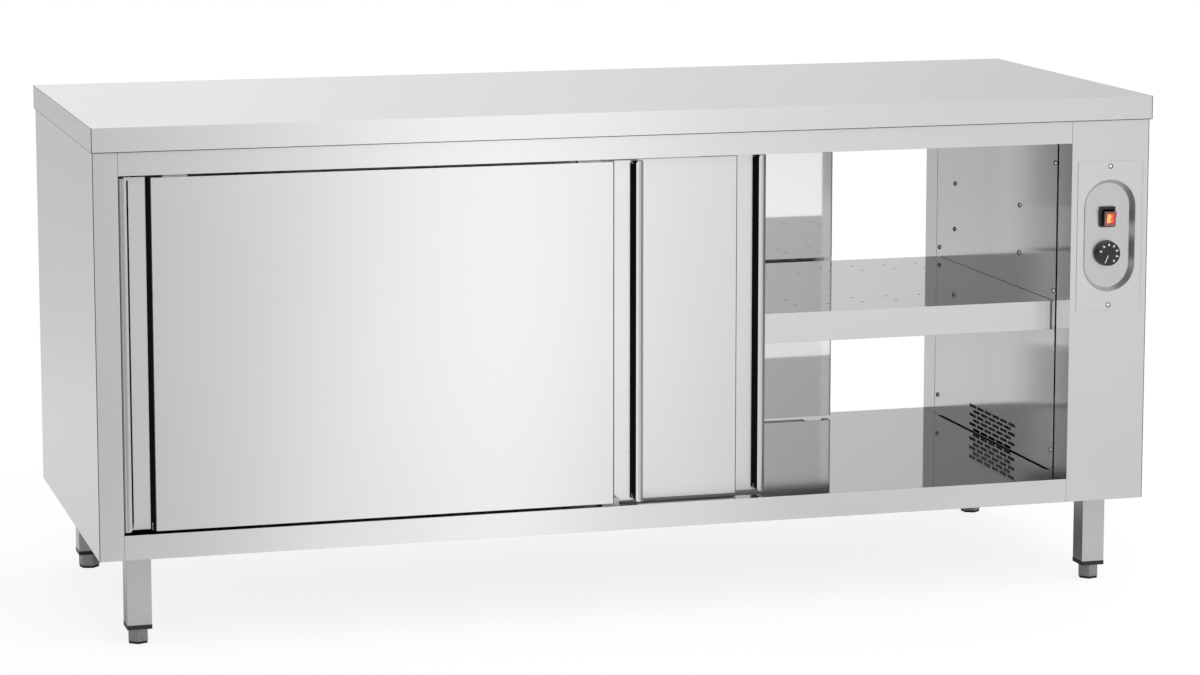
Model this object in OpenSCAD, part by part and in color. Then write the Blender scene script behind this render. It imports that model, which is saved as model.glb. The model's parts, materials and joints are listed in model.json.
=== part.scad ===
// Pass-through plate warmer cabinet in sheet steel, with sliding doors on both long sides.
// The origin is on the floor under the middle of the worktop. The front faces -Y.

/* [Cabinet] */
// Width over the worktop
total_w = 1800; // [1700:10:1900]
// Depth over the worktop
total_d = 700; // [660:10:760]
// Height with the feet screwed right in
total_h = 845; // [800:5:900]
// Height of the body's underside over the floor
leg_h = 150; // [130:5:180]
// Height of the worktop's turned-down edge
edge_h = 40; // [35:1:50]
// How far the worktop stands out past each side
over_side = 2; // [1:1:8]
// How far the worktop stands out past the front and the back
over_front = 8; // [4:1:12]
// Sheet thickness of the worktop
top_t = 1.5; // [1:0.1:2]
// Sheet thickness of the body
skin_t = 1.2; // [0.8:0.1:1.6]
// Sheet thickness of the inner walls
liner_t = 1; // [0.8:0.1:1.4]

/* [Opening] */
// Width of the plain jamb on the left
jamb_w = 40; // [36:1:60]
// Width of the control column on the right
column_w = 140; // [130:1:160]
// Height of the rail under the doors
rail_low = 40; // [34:1:55]
// Height of the rail over the doors, which hides the tracks
rail_high = 38; // [36:1:50]
// Open slot between the door zone and each inner wall
wall_slot = 8; // [4:1:12]

/* [Doors] */
// Thickness of a door
door_t = 20; // [18:1:24]
// How far two closed doors overlap
door_overlap = 104; // [90:2:130]
// Gap over and under a door
door_gap = 4.5; // [4:0.5:7]
// Gap between an outer and an inner door
door_between = 6; // [5:0.5:9]
// How far the outer door lies behind the body's face
door_inset = 3; // [2:0.5:6]
// Gap between a closed door and its jamb
door_end_gap = 1.5; // [1:0.5:4]
// Sheet thickness of a door
door_sheet = 1; // [0.8:0.1:1.2]
// How far the front right door stands open
front_open = 533.5; // [0:0.5:740]
// How far the rear right door stands open
rear_open = 201.5; // [0:0.5:740]

/* [Door grips] */
// Width of the lip at the door's edge
lip_w = 12; // [8:1:18]
// Width of the grip channel's mouth
grip_mouth = 38; // [32:1:48]
// How far each wall of the channel leans in
grip_lean = 5.5; // [2:0.5:8]
// Corner radius of the lip
lip_r = 5; // [2:0.5:7]

/* [Door gear] */
// Diameter of a door wheel
wheel_d = 22; // [18:1:24]
// Width of a door wheel
wheel_w = 7; // [6:0.5:8]
// Distance from a door's edge to its hanger
hanger_inset = 90; // [70:5:140]
// Width of a hanger
hanger_w = 40; // [30:2:60]
// Diameter of a wheel's axle
axle_d = 6; // [4:0.5:7]
// Width of the floor guide's tongue
tongue_t = 3; // [2:0.5:4]
// Length of the floor guide
guide_len = 30; // [20:2:50]

/* [Shelf] */
// Height of the shelf over the compartment floor
shelf_h = 298; // [240:2:340]
// Height of the shelf's front and back aprons
apron_h = 50; // [40:1:60]
// Gap at each end of the shelf
shelf_end_gap = 10; // [6:1:16]
// Distance from the shelf's aprons to the inner walls' edges
shelf_side_gap = 6; // [4:1:20]
// Diameter of the holes in the shelf
shelf_hole_d = 6; // [4:0.5:9]
// Number of holes in a row
shelf_holes = 25; // [5:1:25]
// Distance between holes in a row
shelf_hole_pitch = 61; // [40:1:61]

/* [Grille] */
// Number of rows of slots
grille_rows = 6; // [2:1:7]
// Number of slots in the longer rows
grille_slots = 6; // [3:1:6]
// Length of a slot
slot_l = 31.5; // [20:0.5:33]
// Height of a slot
slot_h = 5.5; // [3:0.5:7]
// Distance between slots in a row
slot_pitch = 37; // [34:0.5:38]
// Distance between rows
row_pitch = 8.5; // [7.5:0.5:9]

/* [Controls] */
// Width of the control plate
plate_w = 118; // [106:1:124]
// Height of the control plate
plate_h = 256; // [240:1:300]
// Width of the pressed recess at the plate's face
recess_w = 94; // [88:1:98]
// Height of the pressed recess at the plate's face
recess_h = 192; // [180:1:200]
// How much narrower the recess is at its floor, all round
recess_slope = 6.5; // [3:0.5:9]
// Depth of the recess
recess_depth = 12; // [8:0.5:15]
// Distance between the switch and the knob
control_pitch = 62.5; // [58:0.5:66]
// Width of the switch bezel
bezel_w = 27; // [25:0.5:30]
// Height of the switch bezel
bezel_h = 35; // [33:0.5:38]
// Tilt of the rocker each way
rocker_tilt = 9; // [6:0.5:10]
// Diameter of the thermostat knob at its base
knob_d = 44; // [36:1:48]
// Height of the thermostat knob
knob_h = 11.5; // [9:0.5:16]
// Diameter of the thermostat shaft
shaft_d = 6; // [4:0.5:7]

/* [Blower] */
// Diameter of the blower wheel
fan_d = 60; // [50:2:64]
// Length of the blower wheel
fan_len = 180; // [140:5:200]
// Number of blades
fan_blades = 24; // [16:2:30]
// Number of fins on the heating element
heater_fins = 29; // [11:2:33]

/* [Legs] */
// Width of a square leg tube
leg_w = 40; // [36:1:45]
// Wall thickness of a leg tube
leg_t = 1.5; // [1:0.1:2.5]
// Distance from a leg's centre to the body's side face
leg_in_x = 69; // [50:1:90]
// Distance from a leg's centre to the body's front face
leg_in_y = 65; // [50:1:90]
// Height of the plastic collar under a leg
collar_h = 7; // [5:1:12]
// Height of the foot under the collar
foot_h = 25; // [18:1:35]
// Width across the flats of the hexagonal foot
foot_af = 31; // [26:1:36]
// Diameter of the foot's stem
stem_d = 10; // [8:1:14]
// How far the foot can be screwed out
foot_travel = 25; // [10:1:28]

/* [Hidden] */
$fn = 48;

// Colours
STEEL = "#c6c7c5";
BRIGHT = "#d8d9d8";
DULL = "#a7a9a8";
BLACK = "#202124";
RED = "#e0422a";
ZINC = "#b9bcb6";

// Body planes
body_x = total_w/2 - over_side;
body_y = total_d/2 - over_front;
body_z = leg_h;
edge_z = total_h - edge_h;

// Door opening
open_x0 = -body_x + jamb_w;
open_x1 = body_x - column_w;
open_z0 = body_z + rail_low;
open_z1 = edge_z - rail_high;
open_mid = (open_x0 + open_x1)/2;
open_w = open_x1 - open_x0;

// Small clearances between sheets
seam = 0.4;
inside_fit = 0.2;
overcut = 1;

// Depth of the door zone, behind which the compartment begins
door_pitch = door_t + door_between;
zone_clear = 7;
zone_y = body_y - door_inset - door_pitch - door_t - zone_clear;
wall_y = zone_y - wall_slot;
flange_w = 15;

// Channels under the worktop
stiffener_w = 40;
stiffener_end = 30;
stiffener_lift = 8.5;
stiffener_pitch = 2*total_d/7;

// Slots beside the floor, next to the inner walls
notch_w = 4;
notch_end = 18;

// Doors
door_w = (open_w + door_overlap)/2;
door_h = open_z1 - open_z0 - 2*door_gap;
door_z = open_z0 + door_gap;
door_left_x = open_x0 + door_end_gap;
door_right_x = open_x1 - door_end_gap - door_w;
function track_y(track) = -body_y + door_inset + track*door_pitch;

// Doors: side, track and left edge. The outer track carries the left doors.
front_left = [true, 0, door_left_x];
front_right = [true, 1, door_right_x - front_open];
rear_left = [false, 0, door_left_x];
rear_right = [false, 1, door_right_x - rear_open];

// Door section: the front sheet is as deep as the door less its back sheet
skin_d = door_t - door_sheet;
channel_d = skin_d - door_sheet;
lean = grip_lean/channel_d;
lean_t = door_sheet*sqrt(1 + lean*lean);
edge_plug = 7;
liner_edge = 0.4;
hem = 6;

// Door gear, measured from the door's front face
wheel_r = wheel_d/2;
plate_t = 3;
plate_y = door_t/2 - plate_t;
hanger_xs = [hanger_inset, door_w - hanger_inset];
hanger_foot_t = 2;
hanger_edge = 4;
hanger_over = 8;
wheel_side_gap = 0.5;
wheel_y = plate_y + plate_t + wheel_side_gap + wheel_w/2;
head_gap = 0.3;
head_t = 0.8;
head_r = axle_d/2 + 1.2;
track_t = 1.5;
track_web_y = wheel_y + wheel_w/2 + head_gap + head_t + 0.4;
ledge_lift = 8.7;
run_gap = 0.3;
ledge_z = open_z1 + ledge_lift;
ledge_in = 0.5;
wheel_z = ledge_z + run_gap + wheel_r;
axle_z = wheel_z - door_z;
axle_fit = 0.05;
bead_w = 2;
bead_h = 1.5;
groove_w = 3;
groove_r = wheel_r - 2;
groove_edge = 0.5;

// Floor guides
tongue_h = 12;
guide_slot = tongue_t + 2;
guide_over = 4.5;
guide_slot_h = tongue_h + guide_over - door_gap;
guide_base_t = 2;
guide_edge = 4;

// Shelf
shelf_z = open_z0 + shelf_h;
shelf_y = wall_y - shelf_side_gap;
shelf_rows = [145, 195];
support_w = 30;
support_h = 25;
support_inset = 10;

// Screws
screw_head_r = 4.5;
screw_head_h = 3.4;
screw_r = 2;
screw_hole_r = 2.1;
screw_len = 6;
screw_hole_l = 6;
screw_edge = 8;
low_screw = 37;
middle_screw = 17;
high_screw = 41;
wall_screw_y = wall_y - screw_edge;
wall_screw_z = [open_z0 + low_screw, shelf_z + middle_screw, open_z1 - high_screw];
post_w = 20;
post_in = 22;
post_y = wall_y - post_in;

// Equipment plate behind the right wall, held by four of the wall's screws
equip_lift = 401;
equip_z = open_z0 + equip_lift;
equip_dz = 42;
equip_y = 40.75;
equip_dy = 154.25;
equip_t = 1.5;
equip_edge = 12;
block_ways = 6;
way_w = 10;
block_h = 28;
block_t = 12;
ridge_h = 12;
ridge_t = 18;
well_r = 2.4;
well_rise = 10;

// Controls, on a centre line in the column
control_x = open_x1 + column_w/2;
control_lift = 129;
control_z = (open_z1 + open_z0)/2 + control_lift;
plate_front = -body_y - skin_t;
recess_r = recess_w/2;
recess_flat = recess_h - recess_w;
recess_back = plate_front + recess_depth;
cutout_margin = 3;
plate_screw_in = 9;
plate_screw_z = plate_h/2 - plate_screw_in;
switch_z = control_z + control_pitch/2;
knob_z = control_z - control_pitch/2;
bezel_t = 5;
bezel_r = 2;
bezel_lip = 5;
switch_body = bezel_w - bezel_lip;
switch_body_h = bezel_h - bezel_lip;
tab_w = 6.4;
tab_t = 0.8;
tab_l = 8;
tab_pitch = 9;
rocker_w = 20;
rocker_l = 24;
rocker_fit = 0.35;
rocker_gap = 1.4;
rocker_pin_r = 1.5;
rocker_pin_l = 1.5;
rocker_face = 15.5;
rocker_dip = 1.6;
rocker_skirt = [2, 0.8];
rocker_keel = 5;
rocker_well = 8;
rocker_pivot_y = recess_back - rocker_pin_r;
knob_lift = 0.5;
knob_taper = 1.5;
bore_fit = 0.02;
shaft_fit = 0.06;
body_depth = 24;
capsule_r = 18;
ear = [8, 2, 14];
shaft_in = 14;
shaft_well = 16;
shaft_hole_gap = 2;
knob_face_t = 3;
pointer_turn = 205;
pointer_w = 1.6;
pointer_d = 0.6;
shaft_end_y = recess_back - knob_lift - knob_h + knob_face_t;

// Grille and blower behind it
grille_lift = 2;
grille_z = open_z0 + grille_lift;
fan_r = fan_d/2;
fan_in = 44;
fan_lift = 12;
fan_x = open_x1 + fan_in + fan_r;
fan_z = open_z0 + fan_lift + fan_r;
fan_gap = 6;
scroll_r = fan_r + fan_gap;
scroll_drift = 3;
end_y = fan_len/2 + fan_gap;
outlet_in = 32;
outlet_x = open_x1 + outlet_in;
outlet_rise = 4;
outlet_top = fan_z + outlet_rise;
outlet_lip = [8.5, 10];
housing_over = 8;
housing_corner = 20;
outlet_corner = 10;
boss_r = 6;
boss_l = 4;
stub_r = 2.5;
stub_fit = 0.05;
stub_gap = 5.5;
stub_in = 14;
disc_t = 1.5;
blade_w = 6;
blade_r = 9;
blade_t = 0.8;
blade_in = 0.3;
motor_r = 22;
motor_l = 44;
motor_core = 52;
motor_core_y = [12, 32];
motor_well = 17;
heater_in = 19;
heater_x = open_x1 + heater_in;
heater_y = 113;
heater_lift = 15;
heater_pitch = 24;
heater_z = [open_z0 + heater_lift, open_z0 + heater_lift + heater_pitch];
rod_r = 4;
rod_over = 6;
fin_t = 0.8;
fin_over = 11;
fin_gap = 6;
fin_end = 5;
outlet_gap = 2;
bracket_t = 1.5;
bracket_foot = 12;

// Legs and feet
leg_x = body_x - leg_in_x;
leg_y = body_y - leg_in_y;
collar_over = 0.3;
plug_fit = 0.1;
plug_h = 15;
leg_plate_t = 3;
stem_fit = 0.1;
stem_short = 4;
pad_h = 4;
pad_in = 0.6;
foot_turns = [[21.4, 12.6], [44, 33]];

// Cable gland in the base, behind the blower's rear end
gland_x = control_x;
gland_y = 205;
gland_r = 8;
gland_fit = 0.1;
gland_bore_r = 4;
gland_hex = [25, 6];
gland_nut = [9.5, 12];
gland_dome = [6, 6];
gland_lock = [24, 5];
gland_top = 11;

// A box between two opposite corners
module box(lo, hi) {
  translate(lo) cube(hi - lo);
}

// A profile drawn in X and Z, extruded from y0 to y1
module along_y(y0, y1) {
  translate([0, y1, 0]) rotate([90, 0, 0]) linear_extrude(y1 - y0) children();
}

// A cylinder along +Y that starts at a point
module rod_y(p, r, l, r2 = undef) {
  translate(p) rotate([-90, 0, 0]) cylinder(h = l, r1 = r, r2 = is_undef(r2) ? r : r2);
}

// A cylinder along +X that starts at a point
module rod_x(p, r, l) {
  translate(p) rotate([0, 90, 0]) cylinder(h = l, r = r);
}

// The piece itself, or its mirror image at the rear
module on_side(front) {
  if (front) children();
  else mirror([0, 1, 0]) children();
}

// ---- Worktop ----

// A pan with turned-down edges that turn in again at the bottom
module worktop() {
  x = total_w/2;
  y = total_d/2;
  lip = top_t + flange_w;
  color(STEEL) difference() {
    box([-x, -y, edge_z], [x, y, total_h]);
    box([-x + top_t, -y + top_t, edge_z + top_t], [x - top_t, y - top_t, total_h - top_t]);
    box([-x + lip, -y + lip, edge_z - overcut], [x - lip, y - lip, edge_z + 2*top_t]);
  }
}

// Hat-shaped channels under the worktop sheet
module worktop_stiffeners() {
  x = body_x - stiffener_end;
  z1 = total_h - top_t;
  z0 = edge_z + stiffener_lift;
  h = stiffener_w/2;
  for (y = [-1, 0, 1] * stiffener_pitch) color(DULL) difference() {
    union() {
      box([-x, y - h, z0], [x, y + h, z1]);
      box([-x, y - h - flange_w, z1 - skin_t], [x, y + h + flange_w, z1]);
    }
    box([-x - overcut, y - h + skin_t, z0 + skin_t], [x + overcut, y + h - skin_t, z1 + overcut]);
  }
}

// ---- Body panels ----

// Outer side, front and rear faces and two returns of the right-hand side, w wide
module side_shell(w) {
  x0 = body_x - w;
  t = skin_t;
  difference() {
    box([x0, -body_y, body_z], [body_x, body_y, edge_z]);
    box([x0 + t, -body_y + t, body_z - overcut], [body_x - t, body_y - t, edge_z + overcut]);
    box([x0 - overcut, -zone_y, body_z - overcut], [x0 + 2*t, zone_y, edge_z + overcut]);
    box([x0 - overcut, -body_y + t, body_z - overcut],
        [x0 + 2*t, body_y - t, body_z + t + inside_fit]);
  }
  box([body_x - t - flange_w, -zone_y, body_z + t], [body_x - t/2, zone_y, body_z + 2*t]);
}

module left_side_panel() {
  color(STEEL) mirror([1, 0, 0]) side_shell(jamb_w);
}

module right_side_panel() {
  cut_x = recess_r + cutout_margin;
  cut_z = recess_h/2 + cutout_margin;
  color(STEEL) difference() {
    side_shell(column_w);
    translate([control_x, -body_y, control_z])
      box([-cut_x, -overcut, -cut_z], [cut_x, skin_t + overcut, cut_z]);
    plate_screw_holes();
  }
}

module plate_screw_holes() {
  for (s = [-1, 1])
    rod_y([control_x, plate_front - overcut, control_z + s*plate_screw_z],
          screw_hole_r, 2*skin_t + 2*overcut);
}

// Holes for the screws of the right-hand side, w wide
module wall_screw_holes(w) {
  for (y = [-1, 1] * wall_screw_y, z = wall_screw_z)
    rod_x([body_x - w - overcut, y, z], screw_hole_r, screw_hole_l);
}

module equip_screw_holes() {
  for (sy = [-1, 1], sz = [-1, 1])
    rod_x([open_x1 - overcut, equip_y + sy*equip_dy, equip_z + sz*equip_dz],
          screw_hole_r, screw_hole_l);
}

// Compartment wall of the right-hand side, with two edges folded into the cavity
module wall_shell(w) {
  x0 = body_x - w;
  z0 = body_z + skin_t;
  z1 = edge_z - skin_t;
  difference() {
    box([x0, -wall_y, z0], [x0 + flange_w, wall_y, z1]);
    box([x0 + liner_t, -wall_y + liner_t, z0 - overcut],
        [x0 + flange_w + overcut, wall_y - liner_t, z1 + overcut]);
    wall_screw_holes(w);
  }
}

module left_inner_wall() {
  color(BRIGHT) mirror([1, 0, 0]) wall_shell(jamb_w);
}

// Brick pattern: the upper row has the full count of slots, the next one slot less
module grille_slots_cut() {
  for (row = [0 : grille_rows - 1]) {
    n = grille_slots - (grille_rows - 1 - row) % 2;
    z = grille_z + row*row_pitch;
    for (i = [0 : n - 1]) {
      y = (i - (n - 1)/2)*slot_pitch;
      box([open_x1 - overcut, y - slot_l/2, z],
          [open_x1 + liner_t + overcut, y + slot_l/2, z + slot_h]);
    }
  }
}

module right_inner_wall() {
  color(BRIGHT) difference() {
    wall_shell(column_w);
    grille_slots_cut();
    equip_screw_holes();
  }
}

// Channel posts between the inner wall and the outer side of the right-hand side, w wide
module wall_post_pair(w) {
  x0 = body_x - w + liner_t;
  x1 = body_x - skin_t;
  z0 = body_z + 2*skin_t;
  z1 = edge_z - skin_t;
  for (front = [true, false]) difference() {
    on_side(front) difference() {
      box([x0, -post_y - post_w, z0], [x1, -post_y, z1]);
      box([x0 + skin_t, -post_y - post_w - overcut, z0 - overcut],
          [x1 - skin_t, -post_y - skin_t, z1 + overcut]);
    }
    wall_screw_holes(w);
  }
}

module wall_posts() {
  color(DULL) mirror([1, 0, 0]) wall_post_pair(jamb_w);
  color(DULL) wall_post_pair(column_w);
}

module ceiling_panel() {
  x = body_x - skin_t - inside_fit;
  y = zone_y - inside_fit;
  color(BRIGHT) box([-x, -y, edge_z - skin_t], [x, y, edge_z]);
}

module base_panel() {
  x = body_x - skin_t - inside_fit;
  y = body_y - skin_t - inside_fit;
  color(DULL) difference() {
    box([-x, -y, body_z], [x, y, body_z + skin_t]);
    translate([gland_x, gland_y, body_z - overcut])
      cylinder(h = skin_t + 2*overcut, r = gland_r + gland_fit);
  }
}

module floor_pan() {
  x0 = open_x0 + seam;
  x1 = open_x1 - seam;
  y = body_y - skin_t - inside_fit;
  notch_y = wall_y - notch_end;
  z0 = open_z0 - skin_t - overcut;
  z1 = open_z0 + overcut;
  color(BRIGHT) difference() {
    box([x0, -y, open_z0 - skin_t], [x1, y, open_z0]);
    box([x0 - overcut, -notch_y, z0], [open_x0 + notch_w, notch_y, z1]);
    box([open_x1 - notch_w, -notch_y, z0], [x1 + overcut, notch_y, z1]);
  }
}

// ---- Rails ----

// Face, top web and two hooked tracks, whose beads steer the grooved wheels
module top_rail() {
  x0 = open_x0 + seam;
  x1 = open_x1 - seam;
  t = skin_t;
  box([x0, -body_y, open_z1], [x1, -body_y + t, edge_z]);
  box([x0, -body_y, edge_z - t], [x1, -zone_y, edge_z]);
  for (track = [0, 1]) {
    y = track_y(track);
    web = y + track_web_y;
    box([x0, web, ledge_z - track_t], [x1, web + track_t, edge_z - t/2]);
    box([x0, y + wheel_y - wheel_w/2 + ledge_in, ledge_z - track_t],
        [x1, web + track_t/2, ledge_z]);
    box([x0, y + wheel_y - bead_w/2, ledge_z - track_t/2],
        [x1, y + wheel_y + bead_w/2, ledge_z + bead_h]);
  }
}

module front_top_rail() {
  color(STEEL) top_rail();
}

module rear_top_rail() {
  color(STEEL) mirror([0, 1, 0]) top_rail();
}

// Face with a ledge under the floor pan and a flange on the base panel
module bottom_rail() {
  x0 = open_x0 + seam;
  x1 = open_x1 - seam;
  t = skin_t;
  in = -body_y + t + flange_w;
  box([x0, -body_y, body_z], [x1, -body_y + t, open_z0]);
  box([x0, -body_y + t/2, open_z0 - 2*t], [x1, in, open_z0 - t]);
  box([x0, -body_y + t/2, body_z + t], [x1, in, body_z + 2*t]);
}

module front_bottom_rail() {
  color(STEEL) bottom_rail();
}

module rear_bottom_rail() {
  color(STEEL) mirror([0, 1, 0]) bottom_rail();
}

// A low plate with one tongue under each track, which runs in the doors' bottom grooves
module floor_guides() {
  x0 = open_mid - guide_len/2;
  x1 = open_mid + guide_len/2;
  tongues = [for (track = [0, 1]) track_y(track) + door_t/2];
  for (front = [true, false]) color(DULL) on_side(front) {
    box([x0, tongues[0] - guide_edge, open_z0],
        [x1, tongues[1] + guide_edge, open_z0 + guide_base_t]);
    for (y = tongues)
      box([x0, y - tongue_t/2, open_z0], [x1, y + tongue_t/2, open_z0 + tongue_h]);
  }
}

// ---- Shelf ----

module middle_shelf() {
  x0 = open_x0 + shelf_end_gap;
  x1 = open_x1 - shelf_end_gap;
  t = skin_t;
  low = shelf_z - apron_h;
  color(BRIGHT) difference() {
    box([x0, -shelf_y, low], [x1, shelf_y, shelf_z]);
    box([x0 - overcut, -shelf_y + t, low + t], [x1 + overcut, shelf_y - t, shelf_z - t]);
    box([x0 - overcut, -shelf_y + t + flange_w, low - overcut],
        [x1 + overcut, shelf_y - t - flange_w, low + 2*t]);
    for (i = [0 : shelf_holes - 1], y = shelf_rows, s = [-1, 1])
      translate([open_mid + (i - (shelf_holes - 1)/2)*shelf_hole_pitch, s*y, shelf_z - 2*t])
        cylinder(h = 4*t, d = shelf_hole_d, $fn = 24);
  }
}

module shelf_supports() {
  y = wall_y - support_inset - shelf_side_gap;
  t = skin_t;
  z = shelf_z - t;
  for (end = [[open_x0, 1], [open_x1, -1]]) color(DULL) translate([end[0], 0, z])
    mirror([end[1] < 0 ? 1 : 0, 0, 0]) difference() {
      box([0, -y, -support_h], [support_w, y, 0]);
      box([t, -y - overcut, -support_h - overcut], [support_w + overcut, y + overcut, -t]);
    }
}

// ---- Screws ----

// A round-headed screw that points along -Z, with its head on z = 0
module dome_screw() {
  r = (pow(screw_head_r, 2) + pow(screw_head_h, 2))/(2*screw_head_h);
  intersection() {
    translate([0, 0, screw_head_h - r]) sphere(r = r);
    cylinder(h = screw_head_h + overcut, r = screw_head_r + overcut);
  }
  translate([0, 0, -screw_len]) cylinder(h = screw_len + screw_head_h/2, r = screw_r);
}

module dome_screws() {
  color(BRIGHT) for (y = [-1, 1] * wall_screw_y, z = wall_screw_z) {
    translate([open_x0, y, z]) rotate([0, 90, 0]) dome_screw();
    translate([open_x1, y, z]) rotate([0, -90, 0]) dome_screw();
  }
  color(BRIGHT) for (sy = [-1, 1], sz = [-1, 1])
    translate([open_x1, equip_y + sy*equip_dy, equip_z + sz*equip_dz])
      rotate([0, -90, 0]) dome_screw();
  color(BRIGHT) for (s = [-1, 1])
    translate([control_x, plate_front, control_z + s*plate_screw_z])
      rotate([90, 0, 0]) dome_screw();
}

// ---- Legs and feet ----

// Square tube under the base, closed by a plate at its upper end
module leg(sx, sy) {
  h = leg_w/2;
  z0 = foot_h + collar_h;
  color(STEEL) translate([sx*leg_x, sy*leg_y, 0]) difference() {
    box([-h, -h, z0], [h, h, body_z]);
    box([-h + leg_t, -h + leg_t, z0 - overcut], [h - leg_t, h - leg_t, body_z - leg_plate_t]);
  }
}

// Collar and plug that close each leg tube and carry its foot
module leg_caps() {
  c = leg_w/2 + collar_over;
  p = leg_w/2 - leg_t - plug_fit;
  z1 = foot_h + collar_h;
  for (sx = [-1, 1], sy = [-1, 1]) color(BLACK) translate([sx*leg_x, sy*leg_y, 0])
    difference() {
      union() {
        box([-c, -c, foot_h], [c, c, z1]);
        box([-p, -p, foot_h + overcut], [p, p, z1 + plug_h]);
      }
      translate([0, 0, foot_h - overcut])
        cylinder(h = collar_h + plug_h + 2*overcut, d = stem_d + 2*stem_fit);
    }
}

// Hexagonal foot with a pad under it and a stem up into the leg's plug
module foot(sx, sy) {
  turn = foot_turns[(sy + 1)/2][(sx + 1)/2];
  corner = foot_af/sqrt(3);
  color(ZINC) translate([sx*leg_x, sy*leg_y, 0]) rotate(turn) {
    cylinder(h = pad_h + overcut, r = corner - pad_in, $fn = 6);
    translate([0, 0, pad_h]) cylinder(h = foot_h - pad_h, r = corner, $fn = 6);
    translate([0, 0, foot_h - overcut])
      cylinder(h = foot_travel + plug_h - stem_short + overcut, d = stem_d);
  }
}

// ---- Controls ----

// A long round-ended dish that narrows from r0 at its mouth to r1, opening towards -Y
module dish(r0, r1, depth) {
  end = recess_flat/2;
  profile = [[0, 0], [r0, 0], [r1, depth], [0, depth]];
  for (s = [0, 1]) mirror([0, 0, s]) translate([0, 0, end]) rotate([-90, 0, 0])
    rotate([0, 0, 180]) rotate_extrude(angle = 180, $fn = 96) polygon(profile);
  translate([0, 0, -end]) linear_extrude(2*end)
    polygon([[-r0, 0], [r0, 0], [r1, depth], [-r1, depth]]);
}

module control_plate() {
  r1 = recess_r - recess_slope;
  t = skin_t;
  color(STEEL) difference() {
    union() {
      translate([control_x, plate_front, control_z])
        box([-plate_w/2, 0, -plate_h/2], [plate_w/2, t, plate_h/2]);
      translate([control_x, plate_front, control_z]) dish(recess_r + t, r1 + t, recess_depth + t);
    }
    translate([control_x, plate_front, control_z]) dish(recess_r, r1, recess_depth);
    plate_screw_holes();
    translate([control_x, recess_back, switch_z])
      box([-switch_body/2 - inside_fit, -overcut, -switch_body_h/2 - inside_fit],
          [switch_body/2 + inside_fit, t + overcut, switch_body_h/2 + inside_fit]);
    rod_y([control_x, recess_back - overcut, knob_z], shaft_d/2 + shaft_hole_gap, t + 2*overcut);
  }
}

// A flat rectangle with round corners, standing in X and Z
module round_rect(w, h, r) {
  square([w - 2*r, h], center = true);
  square([w, h - 2*r], center = true);
  for (sx = [-1, 1], sy = [-1, 1]) translate([sx*(w/2 - r), sy*(h/2 - r)]) circle(r = r);
}

// Bezel on the recess floor and a body behind it, with a pocket for the rocker
module switch_housing() {
  pocket_w = rocker_w + 2*rocker_fit;
  pocket_h = rocker_l + 2*rocker_gap;
  pin = rocker_w/2 + rocker_pin_l + rocker_fit;
  color(BLACK) translate([control_x, recess_back, switch_z]) difference() {
    union() {
      along_y(-bezel_t, 0) round_rect(bezel_w, bezel_h, bezel_r);
      box([-switch_body/2, -overcut, -switch_body_h/2],
          [switch_body/2, body_depth, switch_body_h/2]);
      for (z = [-1, 0, 1] * tab_pitch)
        box([-tab_w/2, body_depth - overcut, z - tab_t/2], [tab_w/2, body_depth + tab_l, z + tab_t/2]);
    }
    box([-pocket_w/2, -bezel_t - overcut, -pocket_h/2], [pocket_w/2, rocker_well, pocket_h/2]);
    rod_x([-pin, rocker_pivot_y - recess_back, 0], rocker_pin_r + axle_fit, 2*pin);
  }
}

// Rocker with a shallow V face, tilted to its on position, with its lower end pressed in
module switch_rocker() {
  h = rocker_l/2;
  k = rocker_keel;
  low = h - rocker_skirt[1];
  pin = rocker_w/2 + rocker_pin_l;
  side = [[-rocker_face, -h], [-rocker_face + rocker_dip, 0], [-rocker_face, h],
          [rocker_skirt[0], low], [k, k], [k, -k], [rocker_skirt[0], -low]];
  color(RED) translate([control_x, rocker_pivot_y, switch_z]) rotate([rocker_tilt, 0, 0]) {
    translate([-rocker_w/2, 0, 0]) rotate([90, 0, 90]) linear_extrude(rocker_w) polygon(side);
    rod_x([-pin, 0, 0], rocker_pin_r, 2*pin);
  }
}

// Round capsule behind the recess floor, with two fixing ears and two tabs
module thermostat_body() {
  y0 = recess_back + skin_t;
  w = capsule_r + ear[0];
  color(DULL) translate([control_x, y0, knob_z]) difference() {
    union() {
      rod_y([0, 0, 0], capsule_r, body_depth);
      box([-w, 0, -ear[2]/2], [w, ear[1], ear[2]/2]);
      for (x = [-1, 1] * tab_l)
        box([x - tab_w/2, body_depth - overcut, tab_l], [x + tab_w/2, body_depth + tab_l, tab_l + tab_t]);
    }
    rod_y([0, -overcut, 0], shaft_d/2 + shaft_fit, shaft_well);
  }
}

module thermostat_shaft() {
  y1 = recess_back + skin_t + shaft_in;
  color(ZINC) rod_y([control_x, shaft_end_y, knob_z], shaft_d/2, y1 - shaft_end_y);
}

// Tapered knob with a shallow pointer groove in its face
module thermostat_knob() {
  y1 = recess_back - knob_lift;
  r = knob_d/2;
  g = knob_face_t;
  color(BLACK) translate([control_x, y1 - knob_h, knob_z]) difference() {
    rod_y([0, 0, 0], r - knob_taper, knob_h, r);
    rod_y([0, g, 0], shaft_d/2 + bore_fit, knob_h);
    rotate([0, pointer_turn, 0])
      box([-pointer_w/2, -overcut, g], [pointer_w/2, pointer_d, r - knob_taper - g]);
  }
}

// ---- Blower and heater ----

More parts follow.
